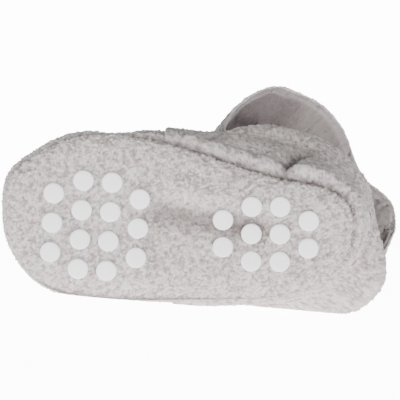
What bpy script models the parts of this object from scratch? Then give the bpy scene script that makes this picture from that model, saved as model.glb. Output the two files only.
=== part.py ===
"""A soft fleece bootie slipper, a right shoe for a toddler, lying on its outer side.

Blender 4.5, metres, +Z up.  The shoe is drawn on its own last first: x runs along the
foot with the toe at -x and the heel at +x, y is the height above the sole, and z runs
across the foot with the inner (big toe) side at +z.  The last is then leant and rolled
so that the edge of the sole and the outer side of the upper lie on the floor, z = 0.
"""

import math
from collections import namedtuple

import bmesh
import bpy
import numpy as np
from mathutils import Matrix, Vector
from mathutils.bvhtree import BVHTree

# Main sizes of the shoe
SOLE_LENGTH = 0.125
BALL_WIDTH = 0.0604
INSTEP_HEIGHT = 0.045
SHAFT_HEIGHT = 0.092

# Thicknesses of the sewn layers
UPPER_WALL = 0.0024
WRAP_LAYER = 0.0016
WRAP_LAYER_AT_COLLAR = 0.0005
SOLE_THICKNESS = 0.0048
INSOLE_THICKNESS = 0.0022
SEAM_GAP = 0.0003

# The padded sole
WAIST_HOLLOW = 0.0022
TOE_SPRING = 0.0025

# Printed grip dots
DOT_DIAMETER = 0.0073
DOT_HEIGHT = 0.0009
DOT_EDGE = 0.0003
DOT_COLUMN_PITCH = 0.0102
DOT_ROW_PITCH = 0.0106

# How the shoe lies on the floor
SOLE_LEAN = math.radians(6.0)
TOE_ROLL = math.radians(5.3)
FLOOR_PRESS = 0.0018

# How finely the curved forms are divided
COLUMNS = 64
STEPS_BETWEEN_SECTIONS = 2
DOT_SIDES = 16

# The outline of the sole from heel to toe.  share is of SOLE_LENGTH, spread and centre
# are of BALL_WIDTH: half the width before the ends are rounded, and how far the middle
# line swings to the inner side.
Station = namedtuple("Station", "share spread centre")
OUTLINE = (
    Station(0.00, 0.350, -0.050),
    Station(0.10, 0.400, -0.100),
    Station(0.20, 0.400, -0.116),
    Station(0.33, 0.415, -0.088),
    Station(0.50, 0.462, -0.031),
    Station(0.67, 0.515, 0.004),
    Station(0.80, 0.548, 0.008),
    Station(0.93, 0.528, 0.006),
    Station(1.00, 0.480, 0.050),
)
END_ROUNDING = 0.6

# Level sections of the foot, from the sole seam, 0, up to INSTEP_HEIGHT, 1.  toe and
# heel are reaches from the middle of the sole, of SOLE_LENGTH; width and shift are of
# BALL_WIDTH; oval goes from the sole's outline, 0, to an oval, 1.
FootSection = namedtuple("FootSection", "name rise toe heel width shift oval")
FOOT = (
    FootSection("sole seam", 0.000, 0.498, 0.498, 0.500, 0.000, 0.00),
    FootSection("feather line", 0.100, 0.512, 0.516, 0.522, 0.003, 0.08),
    FootSection("side wall", 0.260, 0.511, 0.532, 0.530, -0.004, 0.26),
    FootSection("toe box", 0.440, 0.486, 0.542, 0.521, -0.021, 0.55),
    FootSection("toe top", 0.610, 0.412, 0.548, 0.510, -0.040, 0.80),
    FootSection("vamp", 0.755, 0.300, 0.552, 0.502, -0.050, 0.95),
    FootSection("throat", 0.880, 0.178, 0.552, 0.505, -0.060, 1.00),
)

# The ankle, where the slack shaft starts: an oval set across the foot.  Its middle is a
# share of SOLE_LENGTH, SHAFT_HEIGHT and BALL_WIDTH; the half sizes are of BALL_WIDTH.
ANKLE_MIDDLE = (0.303, 0.495, -0.098)
ANKLE_LONG = 0.675
ANKLE_SHORT = 0.500
ANKLE_TILT = math.radians(8.0)
SLUMP_SWING = math.radians(-41.0)

# The collar's edge as it lies slack, a row for each bend of it.  angle is round the
# shoe from the heel by the inner side; along, rise and across are shares of
# SOLE_LENGTH, SHAFT_HEIGHT and BALL_WIDTH; lean is how far the cloth has slumped there,
# in degrees from upright; fullness is how much it balloons on the way up.
CollarBend = namedtuple("CollarBend", "name angle along rise across lean fullness")
COLLAR = (
    CollarBend("back, inner side", 6.0, 0.598, 0.640, -0.100, 12.0, 0.7),
    CollarBend("inner side, back", 31.0, 0.568, 0.605, 0.150, 0.0, 0.7),
    CollarBend("inner side, middle", 62.0, 0.440, 0.580, 0.380, 0.0, 0.7),
    CollarBend("inner side, front", 98.0, 0.270, 0.580, 0.470, 15.0, 0.7),
    CollarBend("front corner", 130.0, 0.140, 0.650, 0.470, 60.0, 0.7),
    CollarBend("front, rising", 160.0, 0.178, 0.800, 0.620, 76.0, 0.8),
    CollarBend("front lobe", 190.0, 0.282, 0.930, 0.705, 84.0, 1.0),
    CollarBend("front lobe, outer", 222.0, 0.425, 0.980, 0.590, 90.0, 1.1),
    CollarBend("outer side", 252.0, 0.540, 0.985, 0.340, 90.0, 1.1),
    CollarBend("dip behind the lobe", 274.0, 0.592, 0.965, 0.075, 80.0, 1.0),
    CollarBend("heel lobe", 294.0, 0.688, 0.940, -0.110, 78.0, 1.0),
    CollarBend("heel lobe, under", 313.0, 0.668, 0.860, -0.290, 76.0, 0.8),
    CollarBend("back corner", 337.0, 0.628, 0.735, -0.370, 58.0, 0.7),
)
SHAFT_STEPS = 9
COLLAR_ROLL = 0.45

# The level of a row on the upper runs from the sole seam, 0, by the ankle to the
# collar, 1.
ANKLE_LEVEL = 0.6

# Soft folds and bulges of the slack cloth.  angle is round the shoe from the heel by
# the inner side; level as above; spread and depth are how wide it is in degrees and in
# levels; reach is of BALL_WIDTH, outwards for a bulge and inwards for a fold.
Fold = namedtuple("Fold", "name angle level spread depth reach")
FOLDS = (
    Fold("bulge over the heel's outer corner", 321.0, 0.67, 21.0, 0.14, 0.112),
    Fold("fold from the sole seam to the ankle", 72.0, 0.44, 26.0, 0.07, -0.035),
    Fold("fold behind the ankle", 38.0, 0.62, 22.0, 0.08, -0.035),
    Fold("bulge of the inner wall", 84.0, 0.78, 26.0, 0.13, 0.025),
)

# The front edge of the wrap-round back panel, as the angle round the shoe from the heel.
EdgePoint = namedtuple("EdgePoint", "level inner outer")
WRAP_EDGE = (
    EdgePoint(0.00, 94.5, 92.0),
    EdgePoint(0.17, 95.5, 93.0),
    EdgePoint(0.26, 97.5, 95.5),
    EdgePoint(0.34, 102.5, 100.5),
    EdgePoint(0.43, 111.0, 108.0),
    EdgePoint(0.52, 121.0, 118.0),
    EdgePoint(0.60, 129.0, 127.0),
    EdgePoint(0.80, 136.0, 136.0),
    EdgePoint(1.00, 144.0, 142.0),
)
WRAP_EDGE_COLUMN = 18
WRAP_EDGE_ANGLE = math.radians(0.9)

# Rings of the padded sole, from the middle of its underside round to its top edge.
# share is of the outline before the last inset; inset and rise are of SOLE_THICKNESS.
SoleRing = namedtuple("SoleRing", "name share inset rise")
SOLE_RINGS = (
    SoleRing("underside, middle", 0.20, 1.30, 0.00),
    SoleRing("underside, inner", 0.46, 1.30, 0.00),
    SoleRing("underside, outer", 0.72, 1.30, 0.01),
    SoleRing("underside, edge", 0.90, 1.30, 0.06),
    SoleRing("roll, lower", 1.00, 0.92, 0.18),
    SoleRing("roll, middle", 1.00, 0.38, 0.40),
    SoleRing("roll, upper", 1.00, 0.08, 0.68),
    SoleRing("widest", 1.00, 0.02, 0.86),
    SoleRing("top edge", 1.00, 0.10, 1.00),
    SoleRing("top, outer", 0.86, 1.00, 1.00),
    SoleRing("top, inner", 0.50, 1.00, 1.00),
)
INSOLE_RINGS = (
    SoleRing("underside, inner", 0.50, 1.60, 0.00),
    SoleRing("underside, outer", 0.86, 1.60, 0.00),
    SoleRing("edge, lower", 1.00, 0.95, 0.00),
    SoleRing("edge, middle", 1.00, 0.80, 0.50),
    SoleRing("edge, upper", 1.00, 0.95, 1.00),
    SoleRing("top, outer", 0.86, 1.60, 1.00),
    SoleRing("top, inner", 0.50, 1.60, 1.00),
)

# Groups of grip dots.  along and across are the middle of the group, of SOLE_LENGTH and
# BALL_WIDTH; turn is the group's angle; columns holds the number of dots in each.
DotGroup = namedtuple("DotGroup", "name along across turn pitch_share columns")
DOT_GROUPS = (
    DotGroup("forefoot", -0.2400, -0.034, 4.0, 1.00, (3, 4, 4, 3)),
    DotGroup("heel", 0.2480, -0.086, 0.5, 0.93, (2, 3, 3, 2)),
)


def smooth_step(value):
    value = np.clip(value, 0.0, 1.0)
    return value * value * (3.0 - 2.0 * value)


def smooth_table(at, knots, values):
    """Values of a short table at the places asked for, on a smooth curve."""
    knots = np.asarray(knots, float)
    values = np.asarray(values, float)
    slopes = np.gradient(values, knots)
    at = np.clip(np.asarray(at, float), knots[0], knots[-1])
    piece = np.clip(np.searchsorted(knots, at, side="right") - 1, 0, len(knots) - 2)
    span = knots[piece + 1] - knots[piece]
    t = (at - knots[piece]) / span
    rise = values[piece] * (2 * t**3 - 3 * t**2 + 1) + values[piece + 1] * (3 * t**2 - 2 * t**3)
    lean = slopes[piece] * (t**3 - 2 * t**2 + t) + slopes[piece + 1] * (t**3 - t**2)
    return rise + lean * span


def sole_outline(angles):
    """The sole's outline at angles round the shoe, 0 at the heel, 90 on the inner side."""
    share = (1.0 - np.cos(angles)) / 2.0
    knots = [row.share for row in OUTLINE]
    spread = smooth_table(share, knots, [row.spread for row in OUTLINE]) * BALL_WIDTH
    centre = smooth_table(share, knots, [row.centre for row in OUTLINE]) * BALL_WIDTH
    rounded = np.sign(np.sin(angles)) * np.abs(np.sin(angles)) ** END_ROUNDING
    along = SOLE_LENGTH * (0.5 - share)
    return along, centre + spread * rounded


def inset_outline(share, inset):
    """The sole's outline, moved in by inset square to itself and then shrunk by share."""
    angles = np.linspace(0.0, 2.0 * math.pi, COLUMNS, endpoint=False)
    along, across = sole_outline(angles)
    run_x = np.roll(along, -1) - np.roll(along, 1)
    run_z = np.roll(across, -1) - np.roll(across, 1)
    length = np.hypot(run_x, run_z)
    along = along - inset * run_z / length
    across = across + inset * run_x / length
    middle = across[:1] + (across[COLUMNS // 2] - across[:1]) * (0.5 - along / SOLE_LENGTH)
    return along * share, middle + (across - middle) * share


def underside_height(along, across):
    """Height of the sole's underside: a raised waist, a hollow along it and a toe spring."""
    waist = np.exp(-(((along - 0.06 * SOLE_LENGTH) / (0.26 * SOLE_LENGTH)) ** 2))
    hollow = np.exp(-(((across + 0.06 * BALL_WIDTH) / (0.20 * BALL_WIDTH)) ** 2))
    toe = smooth_step((-along / SOLE_LENGTH - 0.26) / 0.24)
    heel = smooth_step((along / SOLE_LENGTH - 0.34) / 0.16)
    return WAIST_HOLLOW * waist * (0.35 + 0.65 * hollow) + TOE_SPRING * (toe**2 + 0.4 * heel**2)


def wrap_angles(level):
    """Angles round the shoe for one level, with two columns on each edge of the wrap."""
    knots = [row.level for row in WRAP_EDGE]
    inner = math.radians(float(smooth_table(level, knots, [row.inner for row in WRAP_EDGE])))
    outer = math.radians(float(smooth_table(level, knots, [row.outer for row in WRAP_EDGE])))
    back = np.linspace(0.0, 1.0, WRAP_EDGE_COLUMN + 1)
    front = np.linspace(0.0, 1.0, COLUMNS // 2 - WRAP_EDGE_COLUMN)

    def side(edge):
        rest = edge + WRAP_EDGE_ANGLE + front * (math.pi - edge - WRAP_EDGE_ANGLE)
        return np.concatenate([back * edge, rest])

    inner_side = side(inner)
    outer_side = 2.0 * math.pi - side(outer)[::-1]
    return np.concatenate([inner_side[:-1], outer_side[:-1]])


def wrap_cover():
    """1 on the columns that the wrap-round back panel covers, 0 on the vamp's."""
    count = len(wrap_angles(0.0))
    index = np.arange(count)
    return np.where((index <= WRAP_EDGE_COLUMN) | (index >= count - WRAP_EDGE_COLUMN), 1.0, 0.0)


def foot_ring(row, level):
    """Points of one level section of the foot, as an array of x, y, z."""
    angles = wrap_angles(level)
    along, across = sole_outline(angles)
    share = 0.5 - along / SOLE_LENGTH
    toe, heel = -row.toe * SOLE_LENGTH, row.heel * SOLE_LENGTH
    outline_x = heel - share * (heel - toe)
    outline_z = across * row.width / 0.5 + row.shift * BALL_WIDTH
    oval_x = (toe + heel) / 2 + (heel - toe) / 2 * np.cos(angles)
    oval_z = row.shift * BALL_WIDTH + row.width * BALL_WIDTH * np.sin(angles)
    x = outline_x + (oval_x - outline_x) * row.oval
    z = outline_z + (oval_z - outline_z) * row.oval
    seam = SOLE_THICKNESS + SEAM_GAP
    lift = underside_height(x, z) * (1.0 - smooth_step(row.rise / 0.5))
    return np.stack([x, seam + row.rise * (INSTEP_HEIGHT - seam) + lift, z], axis=1)


def ankle_ring():
    """Points of the oval where the slack shaft starts."""
    turned = wrap_angles(ANKLE_LEVEL) - SLUMP_SWING
    long_way = np.array([math.cos(SLUMP_SWING), 0.0, math.sin(SLUMP_SWING)])
    short_way = np.array([-math.sin(SLUMP_SWING), 0.0, math.cos(SLUMP_SWING)])
    tilted = math.cos(ANKLE_TILT) * short_way - math.sin(ANKLE_TILT) * np.array([0.0, 1.0, 0.0])
    middle = np.array(ANKLE_MIDDLE) * np.array([SOLE_LENGTH, SHAFT_HEIGHT, BALL_WIDTH])
    return (
        middle
        + np.outer(ANKLE_LONG * BALL_WIDTH * np.cos(turned), long_way)
        + np.outer(ANKLE_SHORT * BALL_WIDTH * np.sin(turned), tilted)
    )


def collar_values(*names):
    """Columns of the collar's table at each column of the upper, on closed curves."""
    table = np.array([[getattr(row, name) for name in names] for row in COLLAR], float)
    angles = np.array([row.angle for row in COLLAR])
    knots = np.concatenate([angles[-3:] - 360.0, angles, angles[:3] + 360.0])
    values = np.concatenate([table[-3:], table, table[:3]])
    at = np.degrees(wrap_angles(1.0))
    return np.stack([smooth_table(at, knots, values[:, i]) for i in range(len(names))], axis=1)


def curve_between(start, end, leave, arrive, t):
    """A point on the smooth curve from start to end that leaves and arrives as given."""
    keep = start * (2 * t**3 - 3 * t**2 + 1) + end * (3 * t**2 - 2 * t**3)
    return keep + leave * (t**3 - 2 * t**2 + t) + arrive * (t**3 - t**2)


def shaft_rings():
    """Rings of the slack shaft, each column ballooning up from the ankle to the collar."""
    ankle = ankle_ring()
    sizes = np.array([SOLE_LENGTH, SHAFT_HEIGHT, BALL_WIDTH])
    collar = collar_values("along", "rise", "across") * sizes
    lean, fullness = collar_values("lean", "fullness").T
    lean = np.radians(lean)[:, None]
    upright = np.array([[0.0, 1.0, 0.0]])
    short_way = np.array([[-math.sin(SLUMP_SWING), 0.0, math.cos(SLUMP_SWING)]])
    onward = np.sin(lean) * short_way + np.cos(lean) * upright
    pull = fullness[:, None] * np.linalg.norm(collar - ankle, axis=1, keepdims=True)
    steps = [step / SHAFT_STEPS for step in range(SHAFT_STEPS + 1)]
    return [curve_between(ankle, collar, upright * pull, onward * pull, t) for t in steps]


def foot_level(index):
    return ANKLE_LEVEL * index / len(FOOT)


def upper_rings():
    """The upper's surface under the wrap, and the level of each ring."""
    foot = [foot_ring(row, foot_level(index)) for index, row in enumerate(FOOT)]
    shaft = shaft_rings()
    knots = np.array(foot + shaft[:2])
    slopes = np.gradient(knots, axis=0)
    slopes[len(foot)] = (shaft[1] - foot[-1]) / 2
    rings = []
    levels = []
    for lower in range(len(foot)):
        for step in range(STEPS_BETWEEN_SECTIONS):
            t = step / STEPS_BETWEEN_SECTIONS
            ends = (knots[lower], knots[lower + 1], slopes[lower], slopes[lower + 1])
            rings.append(curve_between(*ends, t))
            levels.append(foot_level(lower + t))
    rings.extend(shaft)
    levels.extend(np.linspace(ANKLE_LEVEL, 1.0, len(shaft)))
    return np.array(rings), np.array(levels)


def surface_normals(grid):
    """Outward normals of a grid of rings, each ring closed on itself."""
    round_way = np.roll(grid, -1, axis=1) - np.roll(grid, 1, axis=1)
    up_way = np.gradient(grid, axis=0)
    normals = np.cross(up_way, round_way)
    return normals / np.linalg.norm(normals, axis=2, keepdims=True)


def lay_down(points):
    """Turns points of the last to the way the shoe lies on the floor."""
    lean_cos, lean_sin = math.cos(SOLE_LEAN), math.sin(SOLE_LEAN)
    roll_cos, roll_sin = math.cos(TOE_ROLL), math.sin(TOE_ROLL)
    x, y, z = points[..., 0], points[..., 1], points[..., 2]
    y, z = y * lean_cos - z * lean_sin, y * lean_sin + z * lean_cos
    x, z = x * roll_cos - z * roll_sin, x * roll_sin + z * roll_cos
    return np.stack([x, y, z], axis=-1)


def folded(skin, levels):
    """The surface with its soft folds and bulges."""
    angles = np.array([np.degrees(wrap_angles(level)) for level in levels])
    reach = np.zeros_like(angles)
    for fold in FOLDS:
        off = ((angles - fold.angle + 180.0) % 360.0 - 180.0) / fold.spread
        rows_off = (levels[:, None] - fold.level) / fold.depth
        reach = reach + fold.reach * np.exp(-(off**2) - rows_off**2)
    return skin + surface_normals(skin) * (reach * BALL_WIDTH)[:, :, None]


def skin_as_it_lies():
    """The upper's surface under the wrap, its normals and how thick the wrap is on it."""
    rings, levels = upper_rings()
    skin = lay_down(folded(rings, levels))
    above = smooth_step((levels - ANKLE_LEVEL) / (1.0 - ANKLE_LEVEL))
    layer = WRAP_LAYER + (WRAP_LAYER_AT_COLLAR - WRAP_LAYER) * above
    layer = (layer * smooth_step(levels / foot_level(1)))[:, None, None] * wrap_cover()[None, :, None]
    return skin, surface_normals(skin), layer


def press(points, floor):
    """Flattens what would sink below the floor."""
    pressed = points.copy()
    pressed[..., 2] = np.maximum(points[..., 2], floor)
    return pressed


def loft(name, rings, close_first=False, close_last=False):
    """A mesh object through closed rings; a closed end is laddered from side to side."""
    bm = bmesh.new()
    rows = [[bm.verts.new(point) for point in ring] for ring in rings]
    count = len(rows[0])
    for lower, upper in zip(rows, rows[1:]):
        for i in range(count):
            j = (i + 1) % count
            bm.faces.new((lower[i], lower[j], upper[j], upper[i]))
    for row, wanted in ((rows[0], close_first), (rows[-1], close_last)):
        for i in range(count // 2 if wanted else 0):
            corners = (row[i], row[i + 1], row[count - i - 1], row[(count - i) % count])
            bm.faces.new(dict.fromkeys(corners))
    if not close_first and not close_last:
        for i in range(count):
            j = (i + 1) % count
            bm.faces.new((rows[-1][i], rows[-1][j], rows[0][j], rows[0][i]))
    bmesh.ops.recalc_face_normals(bm, faces=bm.faces)
    mesh = bpy.data.meshes.new(name)
    bm.to_mesh(mesh)
    bm.free()
    return bpy.data.objects.new(name, mesh)


def upper_solid(floor):
    """The hollow upper: the wrap's step outside, the lining inside and a rolled collar."""
    skin, normals, layer = skin_as_it_lies()
    outer = press(skin + normals * layer, floor)
    inner = press(skin - normals * UPPER_WALL, floor + UPPER_WALL)
    onward = outer[-1] - outer[-2]
    onward = onward / np.linalg.norm(onward, axis=1, keepdims=True)
    rim = (outer[-1] + inner[-1]) / 2 + onward * UPPER_WALL * COLLAR_ROLL
    rings = list(outer) + [rim] + list(inner[::-1])
    return loft("upper", rings)


def flat_rings(rows, depth, base, floor):
    rings = []
    for row in rows:
        along, across = inset_outline(row.share, row.inset * SOLE_THICKNESS)
        height = base + row.rise * depth + underside_height(along, across)
        rings.append(press(lay_down(np.stack([along, height, across], axis=1)), floor))
    return rings


def sole_solid(floor):
    rings = flat_rings(SOLE_RINGS, SOLE_THICKNESS, 0.0, floor)
    return loft("sole", rings, close_first=True, close_last=True)


def insole_solid(floor):
    base = SOLE_THICKNESS + SEAM_GAP
    rings = flat_rings(INSOLE_RINGS, INSOLE_THICKNESS, base, floor)
    return loft("insole", rings, close_first=True, close_last=True)


def dot_places():
    """Middles of the grip dots on the last: along and across."""
    places = []
    for group in DOT_GROUPS:
        turn = math.radians(group.turn)
        tallest = max(group.columns)
        for column, dots in enumerate(group.columns):
            u = (column - (len(group.columns) - 1) / 2) * DOT_COLUMN_PITCH
            for dot in range(dots):
                v = (dot - (dots - 1) / 2) * DOT_ROW_PITCH * group.pitch_share
                x = group.along * SOLE_LENGTH + u * math.cos(turn) + v * math.sin(turn)
                z = group.across * BALL_WIDTH - u * math.sin(turn) + v * math.cos(turn)
                places.append((x, z))
    return places


def grip_dot(name, place, sole_tree):
    """A low round pad, square to the sole under it and just clear of it."""
    x, z = place
    touched = []
    for step in range(DOT_SIDES + 1):
        reach = 0.0 if step == DOT_SIDES else DOT_DIAMETER / 2
        angle = 2.0 * math.pi * step / DOT_SIDES
        point = np.array([x + reach * math.cos(angle), -0.02, z + reach * math.sin(angle)])
        toward = lay_down(np.array([0.0, 1.0, 0.0]))
        hit = sole_tree.ray_cast(Vector(lay_down(point)), Vector(toward))[0]
        touched.append(np.array(hit))
    touched = np.array(touched)
    middle = touched.mean(axis=0)
    normal = np.linalg.svd(touched - middle)[2][2]
    if normal[1] > 0.0:
        normal = -normal
    proud = ((touched - middle) @ normal).max()
    base = middle + normal * (proud + SEAM_GAP)
    side = np.cross(normal, np.array([0.0, 0.0, 1.0]))
    side = side / np.linalg.norm(side)
    other = np.cross(normal, side)
    rings = []
    radius = DOT_DIAMETER / 2
    for reach, rise in ((radius, 0.0), (radius, DOT_HEIGHT - DOT_EDGE), (radius - DOT_EDGE, DOT_HEIGHT)):
        ring = []
        for step in range(DOT_SIDES):
            angle = 2.0 * math.pi * (step + 0.5) / DOT_SIDES
            ring.append(base + normal * rise + (side * math.cos(angle) + other * math.sin(angle)) * reach)
        rings.append(ring)
    return loft(name, rings, close_first=True, close_last=True)


def material(name, colour, roughness):
    found = bpy.data.materials.new(name)
    found.use_nodes = True
    shader = found.node_tree.nodes["Principled BSDF"]
    shader.inputs["Base Color"].default_value = (*colour, 1.0)
    shader.inputs["Roughness"].default_value = roughness
    shader.inputs["Metallic"].default_value = 0.0
    return found


def main():
    for obj in list(bpy.data.objects):
        bpy.data.objects.remove(obj)
    shoe = bpy.data.collections.new("bootie_slipper")
    bpy.context.scene.collection.children.link(shoe)

    fleece = material("grey_fleece", (0.42, 0.40, 0.40), 0.95)
    lining = material("lining_fleece", (0.36, 0.34, 0.34), 0.9)
    dots = material("grip_dot_silicone", (0.86, 0.84, 0.86), 0.45)

    skin, normals, layer = skin_as_it_lies()
    floor = (skin + normals * layer)[..., 2].min() + FLOOR_PRESS
    sole = sole_solid(floor)
    tree = BVHTree.FromPolygons(
        [vertex.co for vertex in sole.data.vertices],
        [list(face.vertices) for face in sole.data.polygons],
    )
    pieces = [(upper_solid(floor), fleece), (sole, fleece), (insole_solid(floor), lining)]
    for number, place in enumerate(dot_places(), start=1):
        pieces.append((grip_dot(f"grip_dot_{number:02d}", place, tree), dots))

    corners = np.array([vertex.co for obj, _ in pieces for vertex in obj.data.vertices])
    low, high = corners.min(axis=0), corners.max(axis=0)
    home = Vector((-(low[0] + high[0]) / 2, -(low[1] + high[1]) / 2, -floor))
    for obj, finish in pieces:
        obj.data.transform(Matrix.Translation(home))
        obj.data.materials.append(finish)
        shoe.objects.link(obj)
    print("moved home by", tuple(round(value * 1000, 2) for value in home), "mm")


if __name__ == "__main__":
    main()
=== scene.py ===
# %% [markdown]
# # A soft fleece bootie slipper
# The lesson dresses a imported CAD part: a toddler's right bootie slipper of light grey
# nubby fleece, lying on its outer side with its slack collar fallen open.  The CAD
# solids give the shapes and sizes; here they get their pile, folds, hems and finishes.

import math
from collections import namedtuple

import bmesh
import bpy
import numpy as np
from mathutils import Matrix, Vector


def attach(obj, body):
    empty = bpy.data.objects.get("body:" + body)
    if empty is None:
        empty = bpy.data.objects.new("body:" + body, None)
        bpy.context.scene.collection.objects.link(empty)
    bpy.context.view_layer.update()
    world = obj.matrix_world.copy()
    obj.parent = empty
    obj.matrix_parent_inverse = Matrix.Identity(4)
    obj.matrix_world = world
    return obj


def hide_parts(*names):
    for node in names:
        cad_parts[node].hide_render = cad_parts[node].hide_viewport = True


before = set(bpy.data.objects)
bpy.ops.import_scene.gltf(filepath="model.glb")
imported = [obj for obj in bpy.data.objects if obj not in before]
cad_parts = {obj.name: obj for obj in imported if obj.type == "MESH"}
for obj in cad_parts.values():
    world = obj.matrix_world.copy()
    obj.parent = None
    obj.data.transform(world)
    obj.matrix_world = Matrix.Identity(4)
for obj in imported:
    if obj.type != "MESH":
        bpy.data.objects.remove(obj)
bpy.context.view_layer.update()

MM = 0.001

# %% [markdown]
# ## The camera
# The photograph looks almost straight at the underside of the sole, from about 0.74 m.
# The shoe leans on its outer side there, so the camera is rolled a little: the floor
# slopes down to the right by the same angle as in the picture.  A wide lens close by
# would swell the dots, so a long lens is used, which keeps the far side of the collar
# nearly as large as the near one.

# %% Camera
ROLL = math.radians(5.3)
PHOTO_LENS = 176.5

lens = bpy.data.cameras.new("photo_camera")
lens.lens = PHOTO_LENS
lens.sensor_width = 36.0
lens.clip_start = 0.05
lens.clip_end = 60.0
camera = bpy.data.objects.new("photo_camera", lens)
camera.location = (-4.08 * MM, -743.07 * MM, 38.71 * MM)
camera.rotation_euler = (math.radians(90.0), -ROLL, 0.0)
bpy.context.scene.collection.objects.link(camera)
bpy.context.scene.camera = camera
print("lens, mm:", PHOTO_LENS, "roll, degrees:", round(math.degrees(ROLL), 1))

# %% [markdown]
# ## The studio
# A product shot is taken on a pale seamless floor with broad soft lights.  Small lamps
# would give hard shadows in the pile, so three round area lights are used.  The strongest
# stands low, behind the camera and to its left, because in the photograph the underside
# and the lower edge of the shoe are the brightest and its open collar is in soft shade.

# %% Floor and lights
AIM = Vector((0.0, 0.0, 0.04))

Softbox = namedtuple("Softbox", "name place size power")
SOFTBOXES = (
    Softbox("front_softbox", (-1.25, -1.15, 0.16), 0.8, 15.0),
    Softbox("low_fill", (0.45, -1.20, 0.05), 0.5, 9.0),
    Softbox("back_softbox", (0.50, 1.10, 1.30), 1.2, 1.2),
)
for box in SOFTBOXES:
    lamp = bpy.data.lights.new(box.name, "AREA")
    lamp.shape = "DISK"
    lamp.size = box.size
    lamp.energy = box.power
    light = bpy.data.objects.new(box.name, lamp)
    light.location = box.place
    light.rotation_euler = (AIM - Vector(box.place)).to_track_quat("-Z", "Y").to_euler()
    bpy.context.scene.collection.objects.link(light)

bpy.ops.object.select_all(action="DESELECT")
bpy.ops.mesh.primitive_circle_add(vertices=96, radius=12.0, fill_type="NGON")
floor = bpy.context.object
floor.name = "studio_floor"
print("lights:", [box.name for box in SOFTBOXES])

# %% [markdown]
# ## Small helpers
# Colours are given as they look on a screen, in sRGB hex, and Blender wants linear
# values, so one function turns them.  Another adds a node with its settings and links.

# %% Helpers
def linear(hex_colour):
    """The linear colour, with full alpha, of an sRGB hex colour."""
    parts = [int(hex_colour[i:i + 2], 16) / 255.0 for i in (0, 2, 4)]
    curve = [p / 12.92 if p <= 0.04045 else ((p + 0.055) / 1.055) ** 2.4 for p in parts]
    return (*curve, 1.0)


def add_node(material, kind, settings=None, values=None, links=None):
    """Adds a node: settings are its properties, values its sockets, links what feeds them."""
    tree = material.node_tree
    node = tree.nodes.new(kind)
    for name, value in (settings or {}).items():
        setattr(node, name, value)
    for name, value in (values or {}).items():
        node.inputs[name].default_value = value
    for name, (source, socket) in (links or {}).items():
        tree.links.new(source.outputs[socket], node.inputs[name])
    return node


def smooth_step(value):
    """Runs smoothly from 0, at 0 and below, to 1, at 1 and above."""
    value = np.clip(value, 0.0, 1.0)
    return value * value * (3.0 - 2.0 * value)


def smooth_table(at, knots, values):
    """Values of a short table at the places asked for, on a smooth curve."""
    knots = np.asarray(knots, float)
    values = np.asarray(values, float)
    slopes = np.gradient(values, knots)
    at = np.clip(np.asarray(at, float), knots[0], knots[-1])
    piece = np.clip(np.searchsorted(knots, at, side="right") - 1, 0, len(knots) - 2)
    span = knots[piece + 1] - knots[piece]
    t = (at - knots[piece]) / span
    rise = values[piece] * (2 * t**3 - 3 * t**2 + 1) + values[piece + 1] * (3 * t**2 - 2 * t**3)
    lean = slopes[piece] * (t**3 - 2 * t**2 + t) + slopes[piece + 1] * (t**3 - t**2)
    return rise + lean * span


# %% [markdown]
# ## The last
# A shoe is drawn on a last.  The upper's surface is known from a few level sections of
# the foot, the oval of the ankle and the line along which the slack collar lies.  The
# CAD solid could be remeshed for the fabric, but then no point would know where on the
# shoe it is.  So the surface is drawn again through the same named sizes and short
# tables, at a much finer pitch.  It lies on the solids, and every point of it has an
# address: its level, from the sole seam to the collar, and its angle round the shoe.

# %% Sizes of the shoe
SOLE_LENGTH = 0.125
BALL_WIDTH = 0.0604
INSTEP_HEIGHT = 0.045
SHAFT_HEIGHT = 0.092
UPPER_WALL = 0.0024
WRAP_LAYER = 0.0016
WRAP_LAYER_AT_COLLAR = 0.0005
SOLE_THICKNESS = 0.0048
SEAM_GAP = 0.0003
WAIST_HOLLOW = 0.0022
TOE_SPRING = 0.0025
SOLE_LEAN = math.radians(6.0)
TOE_ROLL = math.radians(5.3)
HOME = np.array([-10.89, -43.07, 30.95]) * MM

Station = namedtuple("Station", "share spread centre")
OUTLINE = (
    Station(0.00, 0.350, -0.050),
    Station(0.10, 0.400, -0.100),
    Station(0.20, 0.400, -0.116),
    Station(0.33, 0.415, -0.088),
    Station(0.50, 0.462, -0.031),
    Station(0.67, 0.515, 0.004),
    Station(0.80, 0.548, 0.008),
    Station(0.93, 0.528, 0.006),
    Station(1.00, 0.480, 0.050),
)
END_ROUNDING = 0.6

FootSection = namedtuple("FootSection", "name rise toe heel width shift oval")
FOOT = (
    FootSection("sole seam", 0.000, 0.498, 0.498, 0.500, 0.000, 0.00),
    FootSection("feather line", 0.100, 0.512, 0.516, 0.522, 0.003, 0.08),
    FootSection("side wall", 0.260, 0.511, 0.532, 0.530, -0.004, 0.26),
    FootSection("toe box", 0.440, 0.486, 0.542, 0.521, -0.021, 0.55),
    FootSection("toe top", 0.610, 0.412, 0.548, 0.510, -0.040, 0.80),
    FootSection("vamp", 0.755, 0.300, 0.552, 0.502, -0.050, 0.95),
    FootSection("throat", 0.880, 0.178, 0.552, 0.505, -0.060, 1.00),
)
ANKLE_MIDDLE = (0.303, 0.495, -0.098)
ANKLE_LONG = 0.675
ANKLE_SHORT = 0.500
ANKLE_TILT = math.radians(8.0)
SLUMP_SWING = math.radians(-41.0)

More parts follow.
